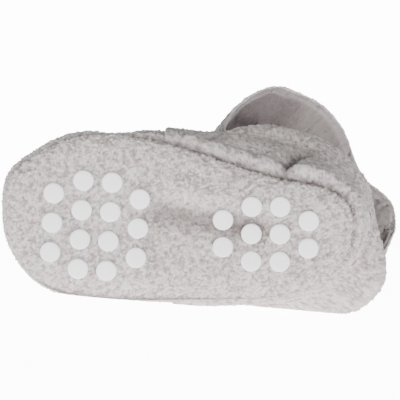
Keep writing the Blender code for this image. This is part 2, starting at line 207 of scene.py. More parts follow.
CollarBend = namedtuple("CollarBend", "name angle along rise across lean fullness")
COLLAR = (
    CollarBend("back, inner side", 6.0, 0.598, 0.640, -0.100, 12.0, 0.7),
    CollarBend("inner side, back", 31.0, 0.568, 0.605, 0.150, 0.0, 0.7),
    CollarBend("inner side, middle", 62.0, 0.440, 0.580, 0.380, 0.0, 0.7),
    CollarBend("inner side, front", 98.0, 0.270, 0.580, 0.470, 15.0, 0.7),
    CollarBend("front corner", 130.0, 0.140, 0.650, 0.470, 60.0, 0.7),
    CollarBend("front, rising", 160.0, 0.178, 0.800, 0.620, 76.0, 0.8),
    CollarBend("front lobe", 190.0, 0.282, 0.930, 0.705, 84.0, 1.0),
    CollarBend("front lobe, outer", 222.0, 0.425, 0.980, 0.590, 90.0, 1.1),
    CollarBend("outer side", 252.0, 0.540, 0.985, 0.340, 90.0, 1.1),
    CollarBend("dip behind the lobe", 274.0, 0.592, 0.965, 0.075, 80.0, 1.0),
    CollarBend("heel lobe", 294.0, 0.688, 0.940, -0.110, 78.0, 1.0),
    CollarBend("heel lobe, under", 313.0, 0.668, 0.860, -0.290, 76.0, 0.8),
    CollarBend("back corner", 337.0, 0.628, 0.735, -0.370, 58.0, 0.7),
)
SHAFT_STEPS = 9
ANKLE_LEVEL = 0.6

Fold = namedtuple("Fold", "name angle level spread depth reach")
FOLDS = (
    Fold("bulge over the heel's outer corner", 321.0, 0.67, 21.0, 0.14, 0.112),
    Fold("fold from the sole seam to the ankle", 72.0, 0.44, 26.0, 0.07, -0.035),
    Fold("fold behind the ankle", 38.0, 0.62, 22.0, 0.08, -0.035),
    Fold("bulge of the inner wall", 84.0, 0.78, 26.0, 0.13, 0.025),
)

EdgePoint = namedtuple("EdgePoint", "level inner outer")
WRAP_EDGE = (
    EdgePoint(0.00, 94.5, 92.0),
    EdgePoint(0.17, 95.5, 93.0),
    EdgePoint(0.26, 97.5, 95.5),
    EdgePoint(0.34, 102.5, 100.5),
    EdgePoint(0.43, 111.0, 108.0),
    EdgePoint(0.52, 121.0, 118.0),
    EdgePoint(0.60, 129.0, 127.0),
    EdgePoint(0.80, 136.0, 136.0),
    EdgePoint(1.00, 144.0, 142.0),
)
print("sole, mm:", SOLE_LENGTH / MM, "x", round(BALL_WIDTH / MM, 1))

# %% [markdown]
# A column of the surface is named by a number from 0 at the middle of the heel to 32 at
# the middle of the toe, on either side; column 18 follows the front edge of the
# wrap-round back panel, whatever the level.  Columns at even angles would cross that
# edge in steps; this way the panel's edge is always a clean line.

# %% Columns and sections of the last
HALF_COLUMNS = 32
EDGE_COLUMN = 18
EDGE_WIDTH = math.radians(0.9)


def column_angles(level, columns):
    """Angles round the shoe of columns -32..32, in radians; the inner side is positive."""
    knots = [row.level for row in WRAP_EDGE]
    angles = np.zeros(len(columns))
    for side, name in ((1.0, "inner"), (-1.0, "outer")):
        edge_at = smooth_table(level, knots, [getattr(row, name) for row in WRAP_EDGE])
        edge = math.radians(float(edge_at))
        stops = (0.0, edge, edge + EDGE_WIDTH, math.pi)
        marks = (0, EDGE_COLUMN, EDGE_COLUMN + 1, HALF_COLUMNS)
        at = np.interp(np.abs(columns), marks, stops)
        angles = np.where(np.asarray(columns) * side > 0, side * at, angles)
    return np.mod(angles, 2.0 * math.pi)


def sole_outline(angles):
    """The sole's outline at angles round the shoe, 0 at the heel, 90 on the inner side."""
    share = (1.0 - np.cos(angles)) / 2.0
    knots = [row.share for row in OUTLINE]
    spread = smooth_table(share, knots, [row.spread for row in OUTLINE]) * BALL_WIDTH
    centre = smooth_table(share, knots, [row.centre for row in OUTLINE]) * BALL_WIDTH
    rounded = np.sign(np.sin(angles)) * np.abs(np.sin(angles)) ** END_ROUNDING
    along = SOLE_LENGTH * (0.5 - share)
    return along, centre + spread * rounded


def underside_height(along, across):
    """Height of the sole's underside: a raised waist, a hollow along it and a toe spring."""
    waist = np.exp(-(((along - 0.06 * SOLE_LENGTH) / (0.26 * SOLE_LENGTH)) ** 2))
    hollow = np.exp(-(((across + 0.06 * BALL_WIDTH) / (0.20 * BALL_WIDTH)) ** 2))
    toe = smooth_step((-along / SOLE_LENGTH - 0.26) / 0.24)
    heel = smooth_step((along / SOLE_LENGTH - 0.34) / 0.16)
    spring = TOE_SPRING * (toe**2 + 0.4 * heel**2)
    return WAIST_HOLLOW * waist * (0.35 + 0.65 * hollow) + spring


def foot_ring(row, angles):
    """One level section of the foot, from the sole's outline to an oval higher up."""
    along, across = sole_outline(angles)
    share = 0.5 - along / SOLE_LENGTH
    toe, heel = -row.toe * SOLE_LENGTH, row.heel * SOLE_LENGTH
    outline_x = heel - share * (heel - toe)
    outline_z = across * row.width / 0.5 + row.shift * BALL_WIDTH
    oval_x = (toe + heel) / 2 + (heel - toe) / 2 * np.cos(angles)
    oval_z = row.shift * BALL_WIDTH + row.width * BALL_WIDTH * np.sin(angles)
    x = outline_x + (oval_x - outline_x) * row.oval
    z = outline_z + (oval_z - outline_z) * row.oval
    seam = SOLE_THICKNESS + SEAM_GAP
    lift = underside_height(x, z) * (1.0 - smooth_step(row.rise / 0.5))
    return np.stack([x, seam + row.rise * (INSTEP_HEIGHT - seam) + lift, z], axis=1)


def ankle_ring(angles):
    """The tilted oval of the ankle, swung round because the shaft has slumped."""
    turned = angles - SLUMP_SWING
    long_way = np.array([math.cos(SLUMP_SWING), 0.0, math.sin(SLUMP_SWING)])
    short_way = np.array([-math.sin(SLUMP_SWING), 0.0, math.cos(SLUMP_SWING)])
    upright = np.array([0.0, 1.0, 0.0])
    tilted = math.cos(ANKLE_TILT) * short_way - math.sin(ANKLE_TILT) * upright
    middle = np.array(ANKLE_MIDDLE) * np.array([SOLE_LENGTH, SHAFT_HEIGHT, BALL_WIDTH])
    return (
        middle
        + np.outer(ANKLE_LONG * BALL_WIDTH * np.cos(turned), long_way)
        + np.outer(ANKLE_SHORT * BALL_WIDTH * np.sin(turned), tilted)
    )


def collar_values(angles, *names):
    """Columns of the collar's table at angles round the shoe."""
    table = np.array([[getattr(row, name) for name in names] for row in COLLAR], float)
    bends = np.array([row.angle for row in COLLAR])
    knots = np.concatenate([bends[-3:] - 360.0, bends, bends[:3] + 360.0])
    values = np.concatenate([table[-3:], table, table[:3]])
    at = np.degrees(angles)
    found = [smooth_table(at, knots, values[:, i]) for i in range(len(names))]
    return np.stack(found, axis=1)


def curve_between(start, end, leave, arrive, t):
    """A point on the smooth curve from start to end that leaves and arrives as given."""
    keep = start * (2 * t**3 - 3 * t**2 + 1) + end * (3 * t**2 - 2 * t**3)
    return keep + leave * (t**3 - 2 * t**2 + t) + arrive * (t**3 - t**2)


def foot_level(index):
    """The level of a section of the foot."""
    return ANKLE_LEVEL * index / len(FOOT)


def ring_of(count):
    """So many even columns, all the way round the shoe."""
    return np.linspace(-HALF_COLUMNS, HALF_COLUMNS, count, endpoint=False)


heel_and_toe, _ = sole_outline(np.array([0.0, math.pi]))
print("sole from heel to toe, mm:", np.round(heel_and_toe / MM, 1))

# %% [markdown]
# ## Folds, listed one by one
# Slack fleece bulges between its seams and creases where it is bent over.  A cloth
# simulation would make such folds, but each in a place of its own choosing, and here
# they have to lie where the shoe has them, so they are listed by their addresses.  A
# swelling is a bell-shaped push along the surface's own normal, with its spread in
# degrees, its depth in levels and its reach in widths of the ball.  A crease is a narrow
# valley along a path, with a low ridge on either side; its width, depth and ridge are in
# mm.  The collar's edge also waves up and down by a millimetre or two.

# %% Folds, listed one by one
SWELLS = (
    Fold("bulge of the inner wall over the seam", 71.0, 0.24, 13.0, 0.12, 0.045),
    Fold("bulge above the heel", 39.0, 0.15, 12.0, 0.10, 0.040),
    Fold("bulge behind the panel's edge", 103.0, 0.20, 9.0, 0.10, 0.015),
    Fold("step at the panel's edge", 101.0, 0.38, 7.0, 0.13, 0.030),
    Fold("hollow under the lip", 88.0, 0.52, 24.0, 0.09, -0.030),
    Fold("dimple of the front lobe", 206.0, 0.947, 6.5, 0.040, 0.026),
    Fold("swelling beside the dimple", 194.0, 0.955, 6.0, 0.030, -0.018),
    Fold("dent of the heel lobe", 298.0, 0.948, 4.2, 0.020, 0.015),
    Fold("swelling of the heel lobe", 291.0, 0.965, 5.0, 0.030, -0.022),
    Fold("fullness behind the heel", 347.0, 0.62, 9.0, 0.10, 0.014),
    Fold("rounding of the heel's outer corner", 321.0, 0.62, 10.0, 0.11, -0.038),
    Fold("waist of the vamp before the panel", 111.0, 0.20, 9.0, 0.17, -0.038),
    Fold("flare of the inner lip", 68.0, 1.0, 38.0, 0.11, 0.032),
    Fold("hollow behind the front corner", 118.0, 0.72, 14.0, 0.12, -0.020),
)

RIM_WAVES = (
    (0, 0.0), (150, 0.0), (166, 0.9), (180, 0.6), (195, 1.5), (212, 1.4), (228, 1.9),
    (244, 0.8), (258, -0.9), (270, 0.0), (281, 1.3), (288, 0.4), (295, -1.5), (301, -0.6),
    (309, 1.9), (318, 1.2), (332, 0.0), (360, 0.0),
)
WAVE_FROM = 0.6
# How deep a crease must be for the painted shade in it to be darkest.
FOLD_DARKEST = 2.2 * MM

Crease = namedtuple("Crease", "name path width depth ridge ends")
CREASES = (
    Crease("groove above the sole seam",
           ((100, 0.028), (85, 0.028), (70, 0.028), (50, 0.030), (30, 0.030), (5, 0.030),
            (-25, 0.030)),
           1.7, 2.5, 1.2, (0.3, 0.2)),
    Crease("seam of the vamp",
           ((178, 0.030), (150, 0.030), (120, 0.030), (99, 0.028)),
           1.2, 1.2, 0.0, (0.3, 0.8)),
    Crease("fold from the seam to the lip",
           ((55.0, 0.03), (53.2, 0.17), (51.2, 0.335), (50.2, 0.44)),
           3.1, 2.7, 1.0, (0.8, 0.0)),
    Crease("fold that branches along the lip",
           ((51.8, 0.30), (44.0, 0.42), (34.0, 0.56)), 2.0, 1.6, 0.6, (0.6, 0.0)),
    Crease("shallow fold of the inner wall",
           ((84.0, 0.10), (80.0, 0.22), (76.0, 0.36)), 1.8, 0.9, 0.3, (0.2, 0.0)),
    Crease("hollow at the foot of the front lobe",
           ((172, 0.905), (188, 0.912), (204, 0.915)), 3.4, -1.6, 0.0, (0.6, 0.0)),
    Crease("fold under the heel",
           ((352, 0.30), (330, 0.34), (312, 0.40)), 2.2, 1.3, 0.6, (0.0, 0.0)),
    Crease("fold beside the heel",
           ((15, 0.22), (6, 0.34), (0, 0.48)), 2.0, 1.0, 0.5, (0.0, 0.0)),
)
print("swellings:", len(FOLDS + SWELLS), "creases:", len(CREASES))

# %% [markdown]
# ## The surface of the upper
# Between two sections each column is a smooth curve; above the ankle it balloons up to
# the collar's line.  The broad swellings are added on the last, the creases are pressed
# in, and only then is the whole shoe laid down on its side.  A coarse guide grid of the
# same surface tells where a crease's addresses are, so that its valley has the same width
# in millimetres all along.

# %% The surface of the upper
def surface_normals(grid):
    """Unit normals of a grid of points, from the steps between its rows and columns."""
    normals = np.cross(np.gradient(grid, axis=0), np.gradient(grid, axis=1))
    return normals / np.maximum(np.linalg.norm(normals, axis=2, keepdims=True), 1e-12)


def lay_down(points):
    """Turns points of the last to the way the shoe lies on the floor."""
    lean_cos, lean_sin = math.cos(SOLE_LEAN), math.sin(SOLE_LEAN)
    roll_cos, roll_sin = math.cos(TOE_ROLL), math.sin(TOE_ROLL)
    x, y, z = points[..., 0], points[..., 1], points[..., 2]
    y, z = y * lean_cos - z * lean_sin, y * lean_sin + z * lean_cos
    x, z = x * roll_cos - z * roll_sin, x * roll_sin + z * roll_cos
    return np.stack([x, y, z], axis=-1) + HOME


def smooth_upper(columns, foot_rows, shaft_rows, folds):
    """The upper before its creases: points in the last's own frame, levels and angles."""
    foot_angles = [column_angles(foot_level(i), columns) for i in range(len(FOOT))]
    foot = [foot_ring(row, angles) for row, angles in zip(FOOT, foot_angles)]
    ankle = ankle_ring(column_angles(ANKLE_LEVEL, columns))
    top = column_angles(1.0, columns)
    collar = collar_values(top, "along", "rise", "across")
    collar = collar * (SOLE_LENGTH, SHAFT_HEIGHT, BALL_WIDTH)
    lean, fullness = collar_values(top, "lean", "fullness").T
    lean = np.radians(lean)[:, None]
    upright = np.array([[0.0, 1.0, 0.0]])
    short_way = np.array([[-math.sin(SLUMP_SWING), 0.0, math.cos(SLUMP_SWING)]])
    onward = np.sin(lean) * short_way + np.cos(lean) * upright
    pull = fullness[:, None] * np.linalg.norm(collar - ankle, axis=1, keepdims=True)
    shaft = ankle, collar, upright * pull, onward * pull
    first_step = curve_between(*shaft, 1.0 / SHAFT_STEPS)
    knots = np.array(foot + [ankle, first_step])
    slopes = np.gradient(knots, axis=0)
    slopes[len(foot)] = (first_step - foot[-1]) / 2
    rows, levels = [], []
    for i in range(len(foot)):
        stretch = knots[i], knots[i + 1], slopes[i], slopes[i + 1]
        for t in np.arange(foot_rows) / foot_rows:
            rows.append(curve_between(*stretch, t))
            levels.append(foot_level(i + t))
    wave_angles, wave_sizes = zip(*RIM_WAVES)
    waves = onward * smooth_table(np.degrees(top), wave_angles, wave_sizes)[:, None] * MM
    for t in np.arange(shaft_rows + 1) / shaft_rows:
        late = max(0.0, (t - WAVE_FROM) / (1.0 - WAVE_FROM)) ** 2
        rows.append(curve_between(*shaft, t) + waves * late)
        levels.append(ANKLE_LEVEL + (1.0 - ANKLE_LEVEL) * t)
    grid, levels = np.array(rows), np.array(levels)
    angles = np.array([np.degrees(column_angles(level, columns)) for level in levels])
    reach = np.zeros_like(angles)
    for fold in folds:
        off = ((angles - fold.angle + 180.0) % 360.0 - 180.0) / fold.spread
        rows_off = (levels[:, None] - fold.level) / fold.depth
        reach = reach + fold.reach * np.exp(-(off**2) - rows_off**2)
    return grid + surface_normals(grid) * (reach * BALL_WIDTH)[:, :, None], levels, angles


guide, guide_levels, guide_angles = smooth_upper(ring_of(256), 9, 40, FOLDS + SWELLS)
print("guide grid:", guide.shape[:2])

# %% Creases of the upper
DEGREE, WHOLE_HEIGHT = 0.8, 100.0  # about how many mm a degree and all the levels are
STEPS_BETWEEN_STOPS = 14
RIDGE_AWAY = 2.1  # the ridge's distance from the valley, in widths of the crease
CREASE_REACH = 4  # how far a crease is felt, in its widths


def trace(path):
    """Points of the upper along a path of addresses, each an angle and a level."""
    stops = np.array(path, float)
    knots = np.arange(len(stops))
    at = np.linspace(0, len(stops) - 1, STEPS_BETWEEN_STOPS * (len(stops) - 1) + 1)
    line = []
    for angle, level in zip(*(smooth_table(at, knots, stops[:, i]) for i in (0, 1))):
        turned = ((guide_angles - angle + 180.0) % 360.0 - 180.0) * DEGREE
        raised = (guide_levels[:, None] - level) * WHOLE_HEIGHT
        line.append(guide[np.unravel_index(np.argmin(turned**2 + raised**2), turned.shape)])
    return np.array(line)


def crease_depths(grid):
    """How far the creases push each point of a grid out (or in, if negative), in metres."""
    flat = grid.reshape(-1, 3)
    total = np.zeros(len(flat))
    for crease in CREASES:
        line = trace(crease.path)
        width = crease.width * MM
        margin = CREASE_REACH * width
        inside = (flat > line.min(0) - margin) & (flat < line.max(0) + margin)
        near = np.flatnonzero(np.all(inside, axis=1))
        if not len(near):
            continue
        gaps = np.linalg.norm(flat[near][:, None, :] - line[None, :, :], axis=2)
        along = np.linspace(0, 1, len(line))[gaps.argmin(axis=1)]
        fade = (crease.ends[0], 1.0, 1.0, crease.ends[1])
        strength = np.interp(along, (0.0, 0.2, 0.7, 1.0), fade)
        off = gaps.min(axis=1) / width
        ridge = crease.ridge * np.exp(-((off - RIDGE_AWAY) ** 2))
        total[near] += strength * (ridge - crease.depth * np.exp(-(off**2))) * MM
    return total.reshape(grid.shape[:2])


def upper_surface(columns, foot_rows, shaft_rows):
    """The upper as it lies: points, normals, levels, angles and the creases' push."""
    grid, levels, angles = smooth_upper(columns, foot_rows, shaft_rows, FOLDS + SWELLS)
    pushed = crease_depths(grid)
    grid = lay_down(grid + surface_normals(grid) * pushed[:, :, None])
    return grid, surface_normals(grid), levels, angles, pushed


# %% [markdown]
# ## From a grid to a sewn sheet
# Each panel of the upper is cut from a sheet with a real thickness.  A Solidify modifier
# could give it, but it would double all the fine faces.  So the face is the fine grid and
# the back, hidden in the wall, is the same grid with most points left out, and one
# many-sided face closes each stretch of the edge between them.  Every panel is then a
# closed piece and nearly all its faces are where they show.

# %% Sheets
def sheet_faces(rows, columns, step, closed):
    """Faces of a sheet: face grid, coarse back grid and the bands that join them."""
    keep_rows = np.unique(np.append(np.arange(0, rows, step), rows - 1))
    last_column = [] if closed else [columns - 1]
    keep_columns = np.unique(np.append(np.arange(0, columns, step), last_column)).astype(int)
    back_rows, back_columns = len(keep_rows), len(keep_columns)
    first = rows * columns

    def quads(count, width, start):
        lower = start + np.arange(count - 1)[:, None] * width
        left = np.arange(width if closed else width - 1)[None, :]
        right = (left + 1) % width
        upper = lower + width
        corners = [lower + left, lower + right, upper + right, upper + left]
        return np.stack(corners, axis=-1).reshape(-1, 4).tolist()

    faces = [tuple(quad) for quad in quads(rows, columns, 0)]
    face_count = len(faces)
    faces += [tuple(quad[::-1]) for quad in quads(back_rows, back_columns, first)]
    stops = list(keep_columns) + ([columns] if closed else [])
    for row, back_row in ((0, 0), (rows - 1, back_rows - 1)):
        for b in range(len(stops) - 1):
            edge = [row * columns + c % columns for c in range(stops[b], stops[b + 1] + 1)]
            start = first + back_row * back_columns
            faces.append(tuple(edge + [start + (b + 1) % back_columns, start + b]))
    if not closed:
        for column, back_column in ((0, 0), (columns - 1, back_columns - 1)):
            for a in range(back_rows - 1):
                stretch = range(keep_rows[a], keep_rows[a + 1] + 1)
                edge = [r * columns + column for r in stretch]
                start = first + a * back_columns + back_column
                faces.append(tuple(edge + [start + back_columns, start]))
    return faces, face_count, keep_rows, keep_columns


def only(obj):
    """Selects one object and nothing else."""
    bpy.ops.object.select_all(action="DESELECT")
    obj.select_set(True)
    bpy.context.view_layer.objects.active = obj


def new_mesh_object(name, points, faces):
    """A new object whose mesh has these points and faces."""
    mesh = bpy.data.meshes.new(name)
    mesh.from_pydata(points.tolist(), [], faces)
    mesh.update()
    obj = bpy.data.objects.new(name, mesh)
    bpy.context.scene.collection.objects.link(obj)
    return obj


def outward(obj):
    """Turns the faces of a closed piece outwards, as with Recalculate Outside."""
    only(obj)
    bpy.ops.object.mode_set(mode="EDIT")
    bpy.ops.mesh.select_all(action="SELECT")
    bpy.ops.mesh.normals_make_consistent(inside=False)
    bpy.ops.object.mode_set(mode="OBJECT")


def sheet(name, face, back, closed=False, step=3):
    """A closed sheet between a face grid and a back grid of the same size."""
    rows, columns = face.shape[:2]
    faces, shown, keep_rows, keep_columns = sheet_faces(rows, columns, step, closed)
    hidden = back[keep_rows][:, keep_columns]
    points = np.concatenate([face.reshape(-1, 3), hidden.reshape(-1, 3)])
    obj = new_mesh_object(name, points, faces)
    outward(obj)
    obj["shown_faces"] = shown
    print(name, "triangles:", sum(len(p.vertices) - 2 for p in obj.data.polygons))
    return obj


def paint(obj, name, face_values):
    """Keeps one number for each point of a sheet's face; its hidden back gets zero."""
    values = np.zeros(len(obj.data.vertices), np.float32)
    values[:face_values.size] = face_values.ravel()
    obj.data.attributes.new(name, "FLOAT", "POINT").data.foreach_set("value", values)
    return values


def above_floor(points, least=0.3 * MM):
    """The same points, none of them lower than the least height."""
    points = points.copy()
    points[..., 2] = np.maximum(points[..., 2], least)
    return points


def distance_from_rim(grid):
    """How far each point is from the collar's edge, along its own column."""
    steps = np.linalg.norm(np.diff(grid, axis=0), axis=2)
    to_rim = np.cumsum(steps[::-1], axis=0)[::-1]
    return np.concatenate([to_rim, np.zeros((1, grid.shape[1]))])


# %% [markdown]
# ## The cut pieces of the upper
# The vamp covers the toe and the instep.  The wrap-round back panel laps over it with a
# turned edge, so it stands one layer proud and rolls down at column 18.  One sheet with a
# step in it would smear the pile over that edge, so they are two sheets, and the vamp
# runs on for a little under the wrap.  Towards the collar the layers thin out and end in
# a narrow sewn edge.

# %% Vamp and wrap panel
PANEL_BACK = 0.7 * MM
RIM_TAPER = 4.0 * MM
RIM_HALF = 0.55 * MM
TUCK_END, TUCK_WIDTH = 18.5, 0.6  # in columns
TUCK_DEPTH = 0.4 * MM


def wrap_thickness(levels):
    """How far the wrap stands off the vamp: nothing at the seam, little at the collar."""
    above = smooth_step((levels - ANKLE_LEVEL) / (1.0 - ANKLE_LEVEL))
    layer = WRAP_LAYER + (WRAP_LAYER_AT_COLLAR - WRAP_LAYER) * above
    return layer * smooth_step(levels / foot_level(1))


def tapered(depth, grid, rim_depth):
    """A depth from the surface that runs smoothly to the rim's own near the collar."""
    near = 1.0 - smooth_step(distance_from_rim(grid) / RIM_TAPER)
    return depth + (rim_depth - depth) * near


def panel(name, grid, normals, layer, pushed):
    """A panel that stands a layer off the surface, with painted shade down in its creases."""
    rise = tapered(layer, grid, rim_middle + RIM_HALF)[:, :, None]
    face = above_floor(grid + normals * rise)
    obj = sheet(name, face, face - normals * PANEL_BACK)
    # Painted shade: this attribute darkens the fleece down in the creases.
    paint(obj, "fold_shade", np.clip(-pushed / FOLD_DARKEST, 0.0, 1.0))
    return obj


rim_middle = 0.5 * (WRAP_LAYER_AT_COLLAR - UPPER_WALL)
under_wrap = np.linspace(17.0, 18.9, 16)
side = np.concatenate([under_wrap, np.linspace(19.0, HALF_COLUMNS, 160)])
vamp_columns = np.concatenate([side, -side[::-1][1:]])
grid, normals, _, _, pushed = upper_surface(vamp_columns, 20, 44)
vamp = panel("vamp_fleece", grid, normals, 0.0, pushed)

turned_edge = np.linspace(17.7, TUCK_END, 9)
side = np.concatenate([np.linspace(0.0, 17.6, 158), turned_edge])
wrap_columns = np.concatenate([-side[::-1][:-1], side])
grid, normals, levels, _, pushed = upper_surface(wrap_columns, 17, 64)
tuck = smooth_step((TUCK_END - np.abs(wrap_columns)) / TUCK_WIDTH)[None, :]
layer = wrap_thickness(levels)[:, None] * tuck - TUCK_DEPTH * (1.0 - tuck)
wrap = panel("wrap_fleece", grid, normals, layer, pushed)

# %% [markdown]
# ## Lining and collar edge
# The lining is a second, thinner shell of fleece inside the wall.  The collar is turned
# in and sewn down, which leaves a low step a few millimetres below the rim.  The lining
# could be an offset of the outer face, but an offset crosses itself where the upper is
# bent sharply, so there the two layers are pinched together, as they are on the shoe.

# %% Lining
HEM_DEPTH = 2.6 * MM
HEM_LAYER = 0.3 * MM
LINING_BACK = 0.5 * MM
LINING_PINCH = 0.86

Pinch = namedtuple("Pinch", "name angle level spread depth")
PINCHES = (
    Pinch("bend under the lip", 58.0, 0.70, 30.0, 0.24),
    Pinch("end of the fold from the seam", 53.0, 0.48, 9.0, 0.16),
)
NubbyPart = namedtuple("NubbyPart", "middle half fade least hem")
LOBES = NubbyPart(262.0, 52.0, 14.0, 0.25, 0.8)


def past_hem(below, blur):
    """0 on the turned hem and 1 past it, with a soft change between."""
    return smooth_step((below - HEM_DEPTH) / blur + 0.5)


grid, normals, levels, angles, pushed = upper_surface(ring_of(500), 8, 92)
below = distance_from_rim(grid)
hem = HEM_LAYER * (1.0 - past_hem(below, 0.7 * MM))
thin = np.ones_like(angles)
for pinch in PINCHES:
    round_gap = (angles - pinch.angle) / pinch.spread
    row_gap = (levels[:, None] - pinch.level) / pinch.depth
    thin = thin * (1.0 - LINING_PINCH * np.exp(-(round_gap**2) - row_gap**2))
depth = tapered((UPPER_WALL - hem) * thin, grid, -(rim_middle - RIM_HALF))[:, :, None]
face = above_floor(grid - normals * depth, UPPER_WALL)
lining = sheet("lining_fleece", face, face + normals * LINING_BACK, closed=True)

# %% [markdown]
# The lining's pile is worn short down in the shoe and stands nubby on the two lobes of the
# collar and on the hem.  Four attributes keep where that is, for the tufts and the finish: the
# nubby part, the turned hem, the line where it is sewn down and the folds, which the finish
# darkens with painted shade.

# %% Areas of the lining
paint(lining, "hem", 1.0 - past_hem(below, 0.5 * MM))
paint(lining, "hem_line", np.exp(-(((below - HEM_DEPTH) / (0.45 * MM)) ** 2)))
nubby = smooth_step((np.abs(angles - LOBES.middle) - LOBES.half) / -LOBES.fade)
nubby = nubby * (1.0 - LOBES.least) + LOBES.least
nubby = np.maximum(nubby, LOBES.hem * (below < HEM_DEPTH))
nubby_points = paint(lining, "nubby", nubby)
# Painted shade: the lining is darkened in its folds, most in the hollow at the foot of the
# front lobe.
paint(lining, "fold_shade", np.clip(pushed / FOLD_DARKEST, 0.0, 1.0))
group = lining.vertex_groups.new(name="nubby")
for index in range(nubby.size):
    group.add([index], float(nubby_points[index]), "REPLACE")
print("lining, points that are nubby:", int((nubby > 0.5).sum()), "of", nubby.size)

# %% [markdown]
# At the rim the outer fleece and the lining meet in a narrow sewn ridge that catches the
# light.  A bevelled curve could be laid there; here it is a closed tube of rings, because
# its points then use the same columns and rim as the two layers that it joins.

# %% Collar edge
RIM_SIDES = 12
RIM_WIDE, RIM_HIGH = 1.05, 0.9

grid, normals, *_ = upper_surface(ring_of(640), 2, 44)
onward = grid[-1] - grid[-2]
onward = onward / np.linalg.norm(onward, axis=1, keepdims=True)
middle = grid[-1] + normals[-1] * rim_middle
turns = 2.0 * math.pi * np.arange(RIM_SIDES) / RIM_SIDES
rings = []
for turn in turns:
    wide = normals[-1] * math.cos(turn) * RIM_WIDE
    rings.append(middle + (wide + onward * math.sin(turn) * RIM_HIGH) * RIM_HALF)
points = above_floor(np.array(rings))
count = points.shape[1]
faces = []
for ring in range(RIM_SIDES):
    this, following = ring * count, (ring + 1) % RIM_SIDES * count
    for i in range(count):
        right = (i + 1) % count
        faces.append((this + i, this + right, following + right, following + i))
collar_edge = new_mesh_object("collar_edge", points.reshape(-1, 3), faces)
collar_edge["shown_faces"] = len(faces)
outward(collar_edge)
print("collar edge faces:", len(faces))

# %% [markdown]
# ## The padded sole
# The sole is a soft pad sewn in a rolled seam, and the insole is a thin one.  Pads are
# often blown up by a cloth simulation, but this one is thin and hard pressed, so a copy
# of the CAD solid is merged, rounded with a Subdivision Surface modifier and remeshed to
# an even grid, fine enough to carry the tufts of the pile.

# %% Sole and insole
SOLE_MESH = 0.45 * MM
INSOLE_MESH = 0.9 * MM


def copy_of_node(node, name):
    """A merged copy of a CAD solid, cleared of its custom properties and materials."""
    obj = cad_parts[node].copy()
    obj.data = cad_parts[node].data.copy()
    obj.name = obj.data.name = name
    obj.parent = None
    for key in list(obj.keys()):
        del obj[key]
    obj.data.materials.clear()
    bpy.context.scene.collection.objects.link(obj)
    only(obj)
    bpy.ops.object.mode_set(mode="EDIT")
    bpy.ops.mesh.select_all(action="SELECT")
    bpy.ops.mesh.remove_doubles(threshold=0.00001)
    bpy.ops.mesh.tris_convert_to_quads(
        face_threshold=math.radians(30), shape_threshold=math.radians(60)
    )
    bpy.ops.object.mode_set(mode="OBJECT")
    return obj


def apply_modifier(obj, name, kind, **settings):
    """Adds a modifier with its settings and applies it."""
    only(obj)
    modifier = obj.modifiers.new(name, kind)
    for key, value in settings.items():
        setattr(modifier, key, value)
    bpy.ops.object.modifier_apply(modifier=name)


def remesh(obj, pitch, smoothing):
    """Gives a piece an even grid of faces and smooths out the remesher's steps."""
    obj.data.remesh_voxel_size = pitch
    obj.data.remesh_voxel_adaptivity = 0.0
    only(obj)
    bpy.ops.object.voxel_remesh()
    apply_modifier(obj, "even_out", "SMOOTH", factor=0.5, iterations=smoothing)
    obj["shown_faces"] = len(obj.data.polygons)
    print(obj.name, "faces:", len(obj.data.polygons))


sole = copy_of_node("sole", "padded_sole")
apply_modifier(sole, "rounding", "SUBSURF", levels=2, render_levels=2)
remesh(sole, SOLE_MESH, 6)
insole = copy_of_node("insole", "soft_insole")
apply_modifier(insole, "rounding", "SUBSURF", levels=1, render_levels=1)
remesh(insole, INSOLE_MESH, 4)

# %% [markdown]
# The wadding of the sole has been pressed down along its middle by the foot: a long
# trough runs through the waist, with a soft ridge above it.  They could be sculpted by
# hand; here each is a short line in the picture's plane, and the sole's points move away
# from the camera by how near they are to it.  Both fade out before they reach the grip
# dots, which keep the fabric flat.  The lower edge rolls back to where it lies on the
# floor.

# %% Relief of the sole
EDGE_ROLL_HEIGHT, EDGE_ROLL = 14.0 * MM, 3.0 * MM

SoleFold = namedtuple("SoleFold", "name start end width depth")
SOLE_FOLDS = (
    SoleFold("trough along the waist", (-17.0, 33.0), (17.0, 30.0), 4.4, 2.1),
    SoleFold("ridge above the trough", (-13.0, 42.5), (8.0, 39.5), 3.8, -1.4),
    SoleFold("dip below the ball", (-26.0, 44.0), (-22.0, 20.0), 3.0, 0.5),
    SoleFold("pinch between the heel dots", (24.0, 36.0), (36.0, 34.0), 1.6, 0.35),
    SoleFold("wrinkle at the heel", (38.0, 21.5), (43.5, 24.0), 0.9, 0.5),
    SoleFold("second wrinkle at the heel", (39.0, 19.0), (42.0, 19.5), 0.8, 0.35),
    SoleFold("pleat at the toe", (-69.0, 44.0), (-60.0, 46.0), 1.0, 0.3),
    SoleFold("lower pleat at the toe", (-71.0, 38.0), (-62.0, 39.0), 1.0, 0.25),
)


def triples(items, name):
    """A value of three numbers from each vertex or face, as rows."""
    flat = np.zeros(len(items) * 3)
    items.foreach_get(name, flat)
    return flat.reshape(-1, 3)


